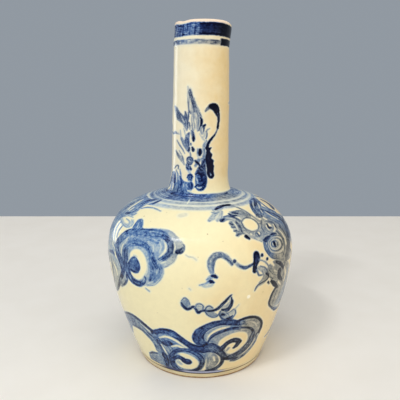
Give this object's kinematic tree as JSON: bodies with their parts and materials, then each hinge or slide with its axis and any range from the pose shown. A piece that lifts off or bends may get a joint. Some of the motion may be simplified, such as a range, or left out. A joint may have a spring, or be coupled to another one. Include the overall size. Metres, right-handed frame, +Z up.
{
  "type": "bottle vase",
  "caption": "Round-bodied bottle vase with a tall narrow neck, thrown in sections and luted together, glazed cream and painted in cobalt blue, standing on a turned foot ring",
  "frame": {"origin": "centre of the vase's box, on the surface that it stands on", "axes": "+Z up along the thrown axis, the painted front facing -Y, +X to the right as seen from the front"},
  "size_m": [0.125, 0.125, 0.22],
  "materials": {
    "painted_glaze": "glossy cream glaze over cobalt blue brush painting",
    "foot_glaze": "thin cream glaze, bare brown clay at the standing edge",
    "dried_slip": "matt dried slip, smoothed with a wet finger"
  },
  "bodies": {
    "root": {"foot_ring": "foot_glaze", "lower_body": "painted_glaze", "belly_slip": "dried_slip", "upper_body": "painted_glaze", "neck_slip": "dried_slip", "neck": "painted_glaze"}
  },
  "joints": []
}
